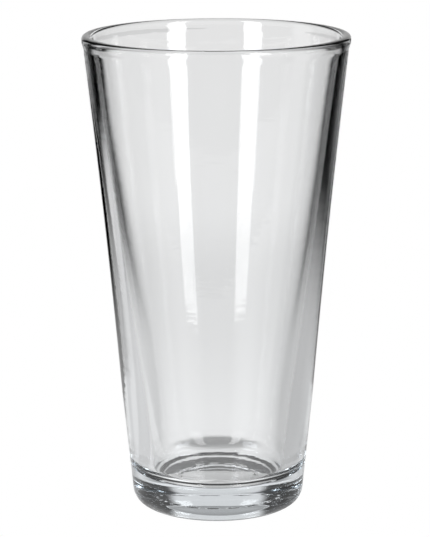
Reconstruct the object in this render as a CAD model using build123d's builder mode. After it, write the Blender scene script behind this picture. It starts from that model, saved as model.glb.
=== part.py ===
"""A mixing glass: the glass half of a two-piece cocktail shaker.

It is one piece of pressed soda-lime glass. The wall flares from a thick, solid base to a
fire-polished rim with a slight bead. The underside is pushed up in a shallow dome, so that the
glass stands on a narrow ring, and the dome carries a ring of raised mould marks.

Frame: +Z up, origin at the middle of the bearing ring, on the surface that the glass stands on.
Lengths are in millimetres.
"""

import os
from math import hypot

from build123d import *

# Overall sizes
HEIGHT = 160.3  # table to the top of the rim
RIM_DIAMETER = 89.0  # over the bead

# Outer wall, from the table up
FOOT_DIAMETER = 57.0  # where the wall's line meets the table, before the heel is rounded
BASE_HEIGHT = 38.0  # up to here the outside is a plain cone
BASE_DIAMETER = 64.8  # outside, at BASE_HEIGHT
WALL_HOLLOW = 0.5  # how far the wall above the base curves in from a straight line
HEEL_RADIUS = 5.5

# Rim
BEAD_HEIGHT = 4.6  # from the top of the rim down to where the bead fades into the wall
BEAD_RELIEF = 0.6  # the wall below the bead is this far inside it
BEAD_SHOULDER = 2.2  # from the wall's end up to where the bead has its full size
BEAD_BLEND = 3.0  # radius that softens the bead's shoulder
RIM_WALL = 3.0  # thickness of the glass at the rim
RIM_ROUND = 1.4  # radius on each side of the fire-polished lip

# Inside
FLOOR_THICKNESS = 11.0  # table to the floor of the hollow
FLOOR_WALL = 7.5  # thickness of the wall, level with the floor
FLOOR_CORNER = 5.5  # radius between the floor and the wall

# Underside
BEARING_WIDTH = 2.6  # width of the flat ring that the glass stands on
PUSH_UP_EDGE = 2.5  # rise just inside the bearing ring
PUSH_UP = 3.7  # rise of the underside at the middle
PUSH_UP_ROUND = 0.8  # radius at the foot and at the head of the rise

# Raised mould marks on the underside: plain dashes in a ring
MARK_COUNT = 15
MARK_RING_DIAMETER = 27.0
MARK_LENGTH = 3.4
MARK_WIDTH = 0.8
MARK_HEIGHT = 0.3  # how far a mark stands out of the dome
MARK_ROOT = 0.6  # how far a mark goes into the glass above it

# Worked out from the sizes above
rim_radius = RIM_DIAMETER / 2
foot_radius = FOOT_DIAMETER / 2
base_radius = BASE_DIAMETER / 2
neck_radius = rim_radius - BEAD_RELIEF
neck_height = HEIGHT - BEAD_HEIGHT
wall_slope = (base_radius - foot_radius) / BASE_HEIGHT
mouth_radius = rim_radius - RIM_WALL
floor_radius = foot_radius + wall_slope * FLOOR_THICKNESS - FLOOR_WALL
lip_round = min(RIM_ROUND, 0.48 * RIM_WALL)
rise_round = min(PUSH_UP_ROUND, 0.45 * PUSH_UP_EDGE)

# The heel's rounding meets the table here, and the bearing ring runs inwards from it
heel_radius = foot_radius + wall_slope * HEEL_RADIUS - HEEL_RADIUS * hypot(1, wall_slope)
dome_edge = heel_radius - BEARING_WIDTH

# The wall's curve, pressed in from the chord between its two ends
wall_rise = neck_height - BASE_HEIGHT
wall_run = neck_radius - base_radius
wall_chord = hypot(wall_rise, wall_run)
hollow_radius = (base_radius + neck_radius) / 2 - WALL_HOLLOW * wall_rise / wall_chord
hollow_height = (BASE_HEIGHT + neck_height) / 2 + WALL_HOLLOW * wall_run / wall_chord

# The dome is part of a sphere through its edge and its middle
dome_rise = PUSH_UP - PUSH_UP_EDGE
dome_sphere = (dome_edge**2 + dome_rise**2) / (2 * dome_rise)
mark_ring = MARK_RING_DIAMETER / 2
mark_ceiling = PUSH_UP - dome_sphere + (dome_sphere**2 - mark_ring**2) ** 0.5
half_dome = dome_edge / 2
half_dome_height = PUSH_UP - dome_sphere + (dome_sphere**2 - half_dome**2) ** 0.5


def corner(radius, height):
    """The half section's vertex nearest to a radius and a height."""
    return half_section.vertices().sort_by_distance((radius, height, 0))[0]


with BuildPart() as glass_body:
    # Half section, turned about the glass's axis: x is the radius and y the height
    with BuildSketch(Plane.XZ) as half_section:
        with BuildLine():
            ThreePointArc((0, PUSH_UP), (half_dome, half_dome_height), (dome_edge, PUSH_UP_EDGE))
            Line((dome_edge, PUSH_UP_EDGE), (dome_edge, 0))
            Line((dome_edge, 0), (foot_radius, 0))
            Line((foot_radius, 0), (base_radius, BASE_HEIGHT))
            ThreePointArc(
                (base_radius, BASE_HEIGHT),
                (hollow_radius, hollow_height),
                (neck_radius, neck_height),
            )
            Line((neck_radius, neck_height), (rim_radius, neck_height + BEAD_SHOULDER))
            Line((rim_radius, neck_height + BEAD_SHOULDER), (rim_radius, HEIGHT))
            Line((rim_radius, HEIGHT), (mouth_radius, HEIGHT))
            Line((mouth_radius, HEIGHT), (floor_radius, FLOOR_THICKNESS))
            Line((floor_radius, FLOOR_THICKNESS), (0, FLOOR_THICKNESS))
            Line((0, FLOOR_THICKNESS), (0, PUSH_UP))
        make_face()
        fillet(corner(foot_radius, 0), HEEL_RADIUS)
        fillet(corner(floor_radius, FLOOR_THICKNESS), FLOOR_CORNER)
        fillet(corner(neck_radius, neck_height), BEAD_BLEND)
        fillet(corner(rim_radius, HEIGHT), lip_round)
        fillet(corner(mouth_radius, HEIGHT), lip_round)
        fillet(corner(dome_edge, 0), rise_round)
        fillet(corner(dome_edge, PUSH_UP_EDGE), rise_round)
    revolve(axis=Axis.Z)

    # Mould marks, each one lying along the ring
    with Locations((0, 0, mark_ceiling - MARK_HEIGHT)):
        with PolarLocations(mark_ring, MARK_COUNT):
            Box(
                MARK_WIDTH,
                MARK_LENGTH,
                MARK_HEIGHT + MARK_ROOT,
                align=(Align.CENTER, Align.CENTER, Align.MIN),
            )

glass_body.part.label = "glass_body"

os.makedirs("parts", exist_ok=True)
export_step(glass_body.part, "parts/glass_body.step")
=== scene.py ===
"""A mixing glass of clear pressed glass, standing on a plain pale floor in soft studio light.

The glass is one piece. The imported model's own mesh is too coarse for glass, whose every facet
shows in what is seen through it, so a finer mesh of the same sizes stands for it. It is the
outline turned about +Z, with the slight unevenness of pressed glass worked into its surfaces.

Metres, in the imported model's frame: +Z up, the glass standing on z = 0, the camera on the -Y side.
"""

from math import atan2, ceil, cos, hypot, pi, radians, sin, sqrt, tan

import bpy
import numpy as np
from mathutils import Matrix, Vector


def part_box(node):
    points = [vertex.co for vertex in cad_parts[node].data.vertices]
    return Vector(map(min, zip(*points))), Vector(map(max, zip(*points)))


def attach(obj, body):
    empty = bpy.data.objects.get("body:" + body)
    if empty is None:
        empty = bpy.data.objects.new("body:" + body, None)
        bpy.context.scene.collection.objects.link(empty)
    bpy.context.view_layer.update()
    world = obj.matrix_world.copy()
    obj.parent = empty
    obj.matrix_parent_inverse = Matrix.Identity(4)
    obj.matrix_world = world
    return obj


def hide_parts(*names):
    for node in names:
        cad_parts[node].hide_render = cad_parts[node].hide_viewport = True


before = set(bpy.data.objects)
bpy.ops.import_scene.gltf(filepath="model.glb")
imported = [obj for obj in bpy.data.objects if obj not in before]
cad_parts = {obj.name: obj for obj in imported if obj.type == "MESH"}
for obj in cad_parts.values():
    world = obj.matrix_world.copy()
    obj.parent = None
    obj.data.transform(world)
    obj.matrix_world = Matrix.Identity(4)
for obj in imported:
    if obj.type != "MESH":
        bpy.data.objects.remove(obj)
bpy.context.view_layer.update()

MM = 0.001

# Overall sizes come from the frame
low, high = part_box("glass_body")
HEIGHT = high[2]
RIM_RADIUS = (high[0] - low[0]) / 2

# Outer wall
FOOT_RADIUS = 28.5 * MM  # where the wall's line meets the table, before the heel is rounded
BASE_HEIGHT = 38.0 * MM
BASE_RADIUS = 32.4 * MM
WALL_HOLLOW = 0.5 * MM
HEEL_ROUND = 5.5 * MM

# Rim
BEAD_HEIGHT = 4.6 * MM
BEAD_RELIEF = 0.6 * MM
BEAD_SHOULDER = 2.2 * MM
BEAD_BLEND = 3.0 * MM
RIM_WALL = 3.0 * MM
LIP_ROUND = 1.4 * MM

# Inside
FLOOR_THICKNESS = 11.0 * MM
FLOOR_WALL = 7.5 * MM
FLOOR_CORNER = 5.5 * MM

# Underside
BEARING_WIDTH = 2.6 * MM
PUSH_UP_EDGE = 2.5 * MM
PUSH_UP = 3.7 * MM
PUSH_UP_ROUND = 0.8 * MM
MARK_COUNT = 15
MARK_RING = 13.5 * MM
MARK_LENGTH = 3.4 * MM
MARK_WIDTH = 0.8 * MM
MARK_HEIGHT = 0.3 * MM

# Unevenness of the pressed surfaces: waves round the glass, as (how many round, how high), and
# the most that they lean, in radians for each metre up
MOULD_WAVES = ((2, 0.03 * MM), (3, 0.03 * MM), (7, 0.008 * MM), (12, 0.004 * MM))
MOULD_LEAN = 25
MOULD_SEED = 4
MOULD_INSET = 0.05 * MM  # brings the outside in a little, so the waves hardly pass the true size
PLUNGER_WAVES = (
    (1, 0.12 * MM),
    (2, 0.08 * MM),
    (3, 0.05 * MM),
    (5, 0.03 * MM),
    (8, 0.012 * MM),
    (13, 0.006 * MM),
)
PLUNGER_LEAN = 30
PLUNGER_SEED = 9

# Fine ripples and grain, which are bump: each one's share of the bump's depth
BUMP_DEPTH = 0.02 * MM
RIPPLE_SHARE = 0.8
SKIN_SHARE = 0.05
LOW_RIPPLE_SHARE = 0.7
LOW_RIPPLE_FULL = 26 * MM  # the low ripples are full up to here, and gone at the next height
LOW_RIPPLE_TOP = 50 * MM
ROUGHEST = 0.02

# Mesh fineness
SEGMENTS = 240
LONGEST_STEP = 1.8 * MM  # between rings
ARC_STEP = radians(6)


# Outline ---------------------------------------------------------------------------------------


def round_corner(before, corner, after, radius):
    """The arc that rounds a corner, as points."""
    a = (before - corner).normalized()
    b = (after - corner).normalized()
    half = a.angle(b) / 2
    centre = corner + (a + b).normalized() * radius / sin(half)
    start = corner + a * radius / tan(half) - centre
    end = corner + b * radius / tan(half) - centre
    sweep = atan2(start.x * end.y - start.y * end.x, start.dot(end))
    steps = max(4, ceil(abs(sweep) / ARC_STEP))
    turns = [sweep * i / steps for i in range(steps + 1)]
    return [centre + Matrix.Rotation(turn, 2) @ start for turn in turns]


def outline():
    """The glass's half section, from the middle of its underside round to the middle of its floor.

    Points are (radius, height). A corner carries its rounding, and a curve's points carry none.
    """
    slope = (BASE_RADIUS - FOOT_RADIUS) / BASE_HEIGHT
    heel = FOOT_RADIUS + slope * HEEL_ROUND - HEEL_ROUND * hypot(1, slope)
    edge = heel - BEARING_WIDTH
    rise = PUSH_UP - PUSH_UP_EDGE
    sphere = (edge**2 + rise**2) / (2 * rise)

    def dome(radius):
        return PUSH_UP - sphere + sqrt(sphere**2 - radius**2)

    neck = Vector((RIM_RADIUS - BEAD_RELIEF, HEIGHT - BEAD_HEIGHT))
    base = Vector((BASE_RADIUS, BASE_HEIGHT))
    chord = neck - base
    inwards = Vector((-chord.y, chord.x)).normalized()
    floor_radius = FOOT_RADIUS + slope * FLOOR_THICKNESS - FLOOR_WALL

    corners = [(0, dome(0), 0)]
    radius = 1 * MM
    while radius < edge - 1.4 * MM:
        corners.append((radius, dome(radius), 0))
        near_marks = abs(radius - MARK_RING) < MARK_WIDTH
        radius += 0.16 * MM if near_marks else 0.8 * MM
    corners.append((edge, PUSH_UP_EDGE, PUSH_UP_ROUND))
    corners.append((edge, 0, PUSH_UP_ROUND))
    corners.append((FOOT_RADIUS, 0, HEEL_ROUND))
    corners.append((*base, 0))
    for i in range(1, 40):
        t = i / 40
        bow = inwards * WALL_HOLLOW * 4 * t * (1 - t)
        corners.append((*(base + chord * t + bow), 0))
    corners.append((*neck, BEAD_BLEND))
    corners.append((RIM_RADIUS, neck.y + BEAD_SHOULDER, 1 * MM))
    corners.append((RIM_RADIUS, HEIGHT, LIP_ROUND))
    corners.append((RIM_RADIUS - RIM_WALL, HEIGHT, LIP_ROUND))
    corners.append((floor_radius, FLOOR_THICKNESS, FLOOR_CORNER))
    corners.append((0, FLOOR_THICKNESS, 0))

    path = [Vector(corners[0][:2])]
    for before, corner, after in zip(corners, corners[1:], corners[2:]):
        spot = Vector(corner[:2])
        if corner[2]:
            path += round_corner(Vector(before[:2]), spot, Vector(after[:2]), corner[2])
        else:
            path.append(spot)
    path.append(Vector(corners[-1][:2]))

    fine = [path[0]]
    for spot in path[1:]:
        steps = max(1, ceil((spot - fine[-1]).length / LONGEST_STEP))
        start = fine[-1]
        fine += [start + (spot - start) * i / steps for i in range(1, steps + 1)]
    return np.array([tuple(spot) for spot in fine])


# Glass -----------------------------------------------------------------------------------------


def smooth(x, start, end):
    """0 before start, 1 after end, and an even curve between."""
    t = np.clip((x - start) / (end - start), 0, 1)
    return t * t * (3 - 2 * t)


def waves(angle, height, sizes, most_lean, seed):
    """Slow unevenness round the glass: one wave for each (how many round, how high)."""
    random = np.random.default_rng(seed)
    total = 0
    for number, size in sizes:
        phase, lean = random.uniform(0, 2 * pi), random.uniform(-most_lean, most_lean)
        total = total + size * np.cos(number * angle + phase + lean * height)
    return total


def marks(angle, radius):
    """Height of the raised dashes on the underside."""
    spacing = 2 * pi / MARK_COUNT
    along = np.abs((angle + spacing / 2) % spacing - spacing / 2) * MARK_RING
    across = np.abs(radius - MARK_RING)
    ends = 1 - smooth(along, MARK_LENGTH / 2 - 0.25 * MM, MARK_LENGTH / 2 + 0.05 * MM)
    sides = 1 - smooth(across, MARK_WIDTH / 2 - 0.15 * MM, MARK_WIDTH / 2 + 0.15 * MM)
    return MARK_HEIGHT * ends * sides


def make_glass():
    """The glass as one closed mesh."""
    path = outline()
    inner_start = int(np.argmax(path[:, 1]))  # the lip's top: the outer surface comes before it
    angle = np.arange(SEGMENTS) * 2 * pi / SEGMENTS
    rings = path[1:-1]
    radius = np.repeat(rings[:, :1], SEGMENTS, axis=1)
    height = np.repeat(rings[:, 1:], SEGMENTS, axis=1)
    angles = np.repeat(angle[None, :], len(rings), axis=0)
    outer = (np.arange(len(rings)) < inner_start)[:, None]

    # The mould side is nearly true, the plunger side less so. The unevenness fades out at the
    # bearing ring, at the floor and at the rim, so the glass keeps its overall size.
    rim = HEIGHT - 1 * MM
    mould_fade = smooth(height, 3 * MM, 14 * MM) * (1 - smooth(height, HEIGHT - 7 * MM, rim))
    mould_side = waves(angles, height, MOULD_WAVES, MOULD_LEAN, MOULD_SEED) - MOULD_INSET
    plunger_rise = smooth(height, FLOOR_THICKNESS + 1 * MM, 30 * MM)
    plunger_fade = plunger_rise * (1 - smooth(height, HEIGHT - 40 * MM, rim))
    plunger_side = waves(angles, height, PLUNGER_WAVES, PLUNGER_LEAN, PLUNGER_SEED)
    radius = radius + np.where(outer, mould_fade * mould_side, plunger_fade * plunger_side)

    under = outer & (height > 0.1 * MM) & (radius < 20 * MM)
    height = height - np.where(under, marks(angles, radius), 0)

    body = np.stack([radius * np.cos(angles), radius * np.sin(angles), height], axis=-1)
    points = np.concatenate([[(0, 0, path[0, 1])], body.reshape(-1, 3), [(0, 0, path[-1, 1])]])

    def at(ring, segment):
        return 1 + ring * SEGMENTS + segment % SEGMENTS

    faces = [(0, at(0, j + 1), at(0, j)) for j in range(SEGMENTS)]
    for i in range(len(rings) - 1):
        faces += [(at(i, j), at(i, j + 1), at(i + 1, j + 1), at(i + 1, j)) for j in range(SEGMENTS)]
    last = len(rings) - 1
    faces += [(len(points) - 1, at(last, j), at(last, j + 1)) for j in range(SEGMENTS)]

    mesh = bpy.data.meshes.new("glass")
    mesh.from_pydata(points.tolist(), [], faces)
    mesh.polygons.foreach_set("use_smooth", [True] * len(mesh.polygons))
    mesh.update()
    piece = bpy.data.objects.new("glass", mesh)
    bpy.context.collection.objects.link(piece)
    return piece


# Materials -------------------------------------------------------------------------------------


class Nodes:
    """Short calls for building a node tree."""

    def __init__(self, owner):
        owner.use_nodes = True
        self.tree = owner.node_tree
        self.tree.nodes.clear()

    def add(self, kind, settings=(), **inputs):
        node = self.tree.nodes.new(kind)
        for name, value in dict(settings).items():
            setattr(node, name, value)
        for name, value in inputs.items():
            self.put(node.inputs[name.replace("_", " ")], value)
        return node

    def put(self, socket, value):
        if isinstance(value, bpy.types.NodeSocket):
            self.tree.links.new(value, socket)
        else:
            socket.default_value = value

    def math(self, operation, *values):
        node = self.tree.nodes.new("ShaderNodeMath")
        node.operation = operation
        for socket, value in zip(node.inputs, values):
            self.put(socket, value)
        return node.outputs[0]

    def ramp(self, value, start, end, low=0.0, high=1.0):
        """A smooth change from low at start to high at end."""
        node = self.add("ShaderNodeMapRange", {"interpolation_type": "SMOOTHSTEP"}, Value=value)
        for name, number in zip(("From Min", "From Max", "To Min", "To Max"), (start, end, low, high)):
            node.inputs[name].default_value = number
        return node.outputs[0]

    def total(self, values):
        result = values[0]
        for value in values[1:]:
            result = self.math("ADD", result, value)
        return result


def glass_material():
    """Clear soda-lime glass: very slightly blue where it is thick, with press ripples."""
    material = bpy.data.materials.new("pressed_glass")
    n = Nodes(material)
    place = n.add("ShaderNodeTexCoord").outputs["Object"]
    up = n.add("ShaderNodeSeparateXYZ", Vector=place).outputs["Z"]

    def noise(scale, squeeze, detail):
        """Noise in the glass, squeezed this much up and down."""
        mapping = n.add("ShaderNodeMapping", Vector=place, Scale=(1.0, 1.0, squeeze))
        node = n.add("ShaderNodeTexNoise", Vector=mapping.outputs[0], Scale=scale, Detail=detail)
        return node.outputs["Fac"]

    ripples = n.math("MULTIPLY", noise(90.0, 4.0, 2.0), RIPPLE_SHARE)
    skin = n.math("MULTIPLY", noise(420.0, 1.0, 3.0), SKIN_SHARE)
    near_base = n.ramp(up, LOW_RIPPLE_FULL, LOW_RIPPLE_TOP, 1.0, 0.0)
    low_ripples = n.math("MULTIPLY", noise(38.0, 16.0, 2.0), LOW_RIPPLE_SHARE)
    height = n.total([ripples, skin, n.math("MULTIPLY", near_base, low_ripples)])
    bump = n.add("ShaderNodeBump", Height=height, Strength=1.0, Distance=BUMP_DEPTH)
    roughness = n.ramp(noise(60.0, 1.0, 4.0), 0.35, 0.75, 0.0, ROUGHEST)
    shader = n.add(
        "ShaderNodeBsdfPrincipled",
        Base_Color=(1.0, 1.0, 1.0, 1.0),
        Transmission_Weight=1.0,
        IOR=1.52,
        Roughness=roughness,
        Normal=bump.outputs[0],
    )
    inside = n.add("ShaderNodeVolumeAbsorption", Color=(0.62, 0.81, 0.96, 1.0), Density=4.0)
    n.add("ShaderNodeOutputMaterial", Surface=shader.outputs[0], Volume=inside.outputs[0])
    return material


# Studio ----------------------------------------------------------------------------------------

# Every light is a soft-edged field in a dark surround, fixed in the room: the world's fields are the
# lamps, and the floor's fields are painted light. Azimuths and elevations are degrees: azimuth 0 is
# towards the camera (-Y) and 90 towards +X. The camera itself sees plain white all round, and the glass
# sees the fields. Distances are metres from the glass's axis.
SURROUND = 0.03

# Two tall softboxes in front, right and left, whose light is painted on over the far floor
SOFTBOXES = (38, -35)
SOFTBOX_HALF_WIDTH = 8.5
SOFTBOX_BOTTOM, SOFTBOX_TOP = -2.0, 50.0
SOFTBOX_LIGHT = 6.0
SOFTBOX_FOOT_LIGHT = 4.8
SOFTBOX_FOOT_START, SOFTBOX_FOOT_FULL = 1.1, 1.9

# White wall behind the glass
WALL_HALF_WIDTH = 23
WALL_BOTTOM, WALL_TOP = -5.0, 33.0
WALL_LIGHT = 0.68

# White sheets for the glass's other sides, whose light is painted on the floor: azimuth, half width,
# and how far out it lies. One that reaches past the floor stands up there too, as a field in the world.
SIDE_SHEETS = ((270, 12, 9.0), (225, 10, 0.46))
SIDE_SHEET_FADE = 0.12
SIDE_LIGHT = 0.76

# Painted light on the white paper floor, from the glass back to the wall: it is brightest near and far,
# dips between, and widens with distance
PAPER_LIGHT = 0.84
PAPER_DIP = 0.74
PAPER_DIP_AT = 0.25
PAPER_HALF_WIDTH = 0.035
PAPER_SPREAD = 0.24
PAPER_SOFT = 0.03

# Painted pool of light on the floor round the glass, on the left and on the right, and where it fades
POOL_LEFT, POOL_RIGHT = 0.64, 0.50
POOL_NEAR, POOL_FAR = 0.15, 0.38

# Painted light on the floor in front, on the left and on the right, and the softboxes' painted spill on
# it
FRONT_LEFT, FRONT_RIGHT = 0.70, 0.35
SPILLS = (44, -44)
SPILL_LIGHT = 0.4

# The glass's own shade, painted on the floor: a painted shadow spot behind it, a dark painted contact
# ring where it stands, and the floor under its push-up painted darker. The spot and the ring are
# (distance behind the axis, half width, half depth).
SHADE_SPOT = (0.0515, 0.023, 0.0165)
SHADE_SPOT_LIGHT = 0.40
CONTACT_RING = (0.003, 0.0255, 0.0255)
CONTACT_LIGHT = 0.04
UNDER_LIGHT = 0.75

FLOOR_HALF = 4.0
FLOOR_DEPTH = 0.2 * MM  # the floor is this far under the glass


def azimuth_of(n, x, y):
    return n.math("DEGREES", n.math("ARCTAN2", x, n.math("MULTIPLY", y, -1.0)))


def sector(n, azimuth, centre, half_width, soft):
    """1 within half_width of an azimuth, 0 outside, with a soft edge."""
    away = n.math("ABSOLUTE", n.math("WRAP", n.math("SUBTRACT", azimuth, float(centre)), 180.0, -180.0))
    return n.ramp(away, half_width - soft, half_width + soft, 1.0, 0.0)


def white_to_camera(n, light):
    """A strength that the camera sees as plain white and the glass sees as the light."""
    path = n.add("ShaderNodeLightPath")
    mix = n.add("ShaderNodeMix", {"data_type": "FLOAT"})
    n.put(mix.inputs[0], path.outputs["Is Camera Ray"])
    n.put(mix.inputs[2], light)
    mix.inputs[3].default_value = 1.0
    return mix.outputs[0]


def make_world():
    world = bpy.data.worlds.new("studio")
    bpy.context.scene.world = world
    n = Nodes(world)
    direction = n.add("ShaderNodeTexCoord").outputs["Generated"]
    x, y, z = n.add("ShaderNodeSeparateXYZ", Vector=direction).outputs
    azimuth = azimuth_of(n, x, y)
    elevation = n.math("DEGREES", n.math("ARCSINE", z))

    def field(centre, half_width, soft, bottom, top, strength):
        rise = n.ramp(elevation, bottom - 3.0, bottom + 3.0)
        fall = n.ramp(elevation, top - 4.0, top + 4.0, strength, 0.0)
        across = sector(n, azimuth, centre, half_width, soft)
        return n.math("MULTIPLY", across, n.math("MULTIPLY", rise, fall))

    fields = [
        field(centre, SOFTBOX_HALF_WIDTH, 1.0, SOFTBOX_BOTTOM, SOFTBOX_TOP, SOFTBOX_LIGHT)
        for centre in SOFTBOXES
    ]
    fields.append(field(180, WALL_HALF_WIDTH, 4.0, WALL_BOTTOM, WALL_TOP, WALL_LIGHT))
    for centre, half_width, reach in SIDE_SHEETS:
        if reach > FLOOR_HALF:
            fields.append(field(centre, half_width, 4.0, WALL_BOTTOM, WALL_TOP, SIDE_LIGHT))
    strength = white_to_camera(n, n.math("ADD", n.total(fields), SURROUND))
    background = n.add("ShaderNodeBackground", Color=(1.0, 1.0, 1.0, 1.0), Strength=strength)
    n.add("ShaderNodeOutputWorld", Surface=background.outputs[0])


def painted_floor_light(n):
    """Painted light and shade of the floor, by place: how brightly it glows for the glass."""
    place = n.add("ShaderNodeNewGeometry").outputs["Position"]
    x, y, z = n.add("ShaderNodeSeparateXYZ", Vector=place).outputs
    azimuth = azimuth_of(n, x, y)

    def length(a, b):
        return n.math("SQRT", n.math("ADD", n.math("MULTIPLY", a, a), n.math("MULTIPLY", b, b)))

    def within(middle, half_width, half_depth):
        """Distance from a point on the y axis, as a share of an ellipse's size."""
        dy = n.math("DIVIDE", n.math("SUBTRACT", y, middle), half_depth)
        return length(n.math("DIVIDE", x, half_width), dy)

    distance = length(x, y)

    # Painted light on the paper behind the glass
    aside = n.math("SUBTRACT", n.math("ABSOLUTE", x), n.math("MULTIPLY", distance, PAPER_SPREAD))
    inner, outer = PAPER_HALF_WIDTH - PAPER_SOFT, PAPER_HALF_WIDTH + PAPER_SOFT
    edge = n.ramp(aside, inner, outer, 1.0, 0.0)
    from_dip = n.math("ABSOLUTE", n.math("SUBTRACT", distance, PAPER_DIP_AT))
    behind = n.ramp(y, -0.03, 0.03)
    along = n.math("MULTIPLY", n.ramp(from_dip, 0.03, 0.2, PAPER_DIP, PAPER_LIGHT), behind)
    painted_paper_light = n.math("MULTIPLY", edge, along)

    # Painted pool of light round the glass
    painted_pool = n.ramp(distance, POOL_NEAR, POOL_FAR, 1.0, 0.0)
    painted_pool = n.math("MULTIPLY", painted_pool, n.ramp(x, -0.1, 0.1, POOL_LEFT, POOL_RIGHT))

    # Painted light on the floor in front, with the softboxes' painted spill
    spill = n.total([sector(n, azimuth, centre, 18.0, 10.0) for centre in SPILLS])
    spill = n.math("MULTIPLY", spill, SPILL_LIGHT)
    front = n.math("ADD", n.ramp(azimuth, 20.0, 50.0, FRONT_LEFT, FRONT_RIGHT), spill)
    facing = n.ramp(n.math("ABSOLUTE", azimuth), 80.0, 110.0, 1.0, 0.0)
    front = n.math("MULTIPLY", facing, front)
    # Painted light: the softboxes' light running on over the far floor
    foot = n.total([sector(n, azimuth, centre, SOFTBOX_HALF_WIDTH, 1.5) for centre in SOFTBOXES])
    far = n.ramp(distance, SOFTBOX_FOOT_START, SOFTBOX_FOOT_FULL, 0.0, SOFTBOX_FOOT_LIGHT)
    front = n.math("ADD", front, n.math("MULTIPLY", foot, far))

    light = n.math("MAXIMUM", n.math("MAXIMUM", painted_paper_light, painted_pool), front)
    # The side sheets' light, painted on the floor out to where each lies
    for centre, half_width, reach in SIDE_SHEETS:
        inner, outer = reach - SIDE_SHEET_FADE, reach + SIDE_SHEET_FADE
        out = n.ramp(distance, inner, outer, SIDE_LIGHT, 0.0)
        sheet = n.math("MULTIPLY", sector(n, azimuth, centre, half_width, 4.0), out)
        light = n.math("MAXIMUM", light, sheet)

    # Painted shade of the glass: shadow spot, contact ring, and darker floor under the push-up
    spot = n.ramp(within(*SHADE_SPOT), 0.5, 1.35, SHADE_SPOT_LIGHT, 1.0)
    from_ring = n.math("ABSOLUTE", n.math("SUBTRACT", within(*CONTACT_RING), 1.0))
    ring = n.ramp(from_ring, 0.08, 0.13, CONTACT_LIGHT, 1.0)
    under = n.ramp(distance, 0.0195, 0.0215, UNDER_LIGHT, 1.0)
    return n.math("MULTIPLY", n.math("MULTIPLY", light, spot), n.math("MULTIPLY", ring, under))


def make_floor():
    """A plain pale floor to the camera, which glows for the glass with painted light and shade."""
    turns = ((-1, -1), (1, -1), (1, 1), (-1, 1))
    corners = [(x * FLOOR_HALF, y * FLOOR_HALF, -FLOOR_DEPTH) for x, y in turns]
    mesh = bpy.data.meshes.new("floor")
    mesh.from_pydata(corners, [], [(0, 1, 2, 3)])
    floor = bpy.data.objects.new("floor", mesh)
    bpy.context.collection.objects.link(floor)
    material = bpy.data.materials.new("floor")
    n = Nodes(material)
    strength = white_to_camera(n, painted_floor_light(n))
    emission = n.add("ShaderNodeEmission", Color=(1.0, 1.0, 1.0, 1.0), Strength=strength)
    n.add("ShaderNodeOutputMaterial", Surface=emission.outputs[0])
    mesh.materials.append(material)


def make_camera():
    """The main viewpoint: 0.8 m in front of the glass, looking down a little."""
    pitch, roll, yaw = 0.2207, 0.0039, -0.0009
    ahead = Vector((sin(yaw) * cos(pitch), cos(yaw) * cos(pitch), -sin(pitch)))
    right = Vector((cos(yaw), -sin(yaw), 0))
    down = ahead.cross(right)
    across = cos(roll) * right + sin(roll) * down
    upwards = sin(roll) * right - cos(roll) * down
    camera = bpy.data.objects.new("camera", bpy.data.cameras.new("camera"))
    bpy.context.collection.objects.link(camera)
    camera.matrix_world = Matrix((across, upwards, -ahead)).transposed().to_4x4()
    camera.location = (0, -0.800, 0.2605)
    camera.data.sensor_width = 36
    camera.data.lens = 163.24
    camera.data.clip_start = 0.01
    bpy.context.scene.camera = camera


make_camera()
make_world()
make_floor()

glass = make_glass()
glass.data.materials.append(glass_material())
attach(glass, "root")
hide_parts("glass_body")

scene = bpy.context.scene
scene.view_settings.view_transform = "Standard"
scene.cycles.use_denoising = True
scene.cycles.max_bounces = 24
scene.cycles.transmission_bounces = 24
scene.cycles.glossy_bounces = 12
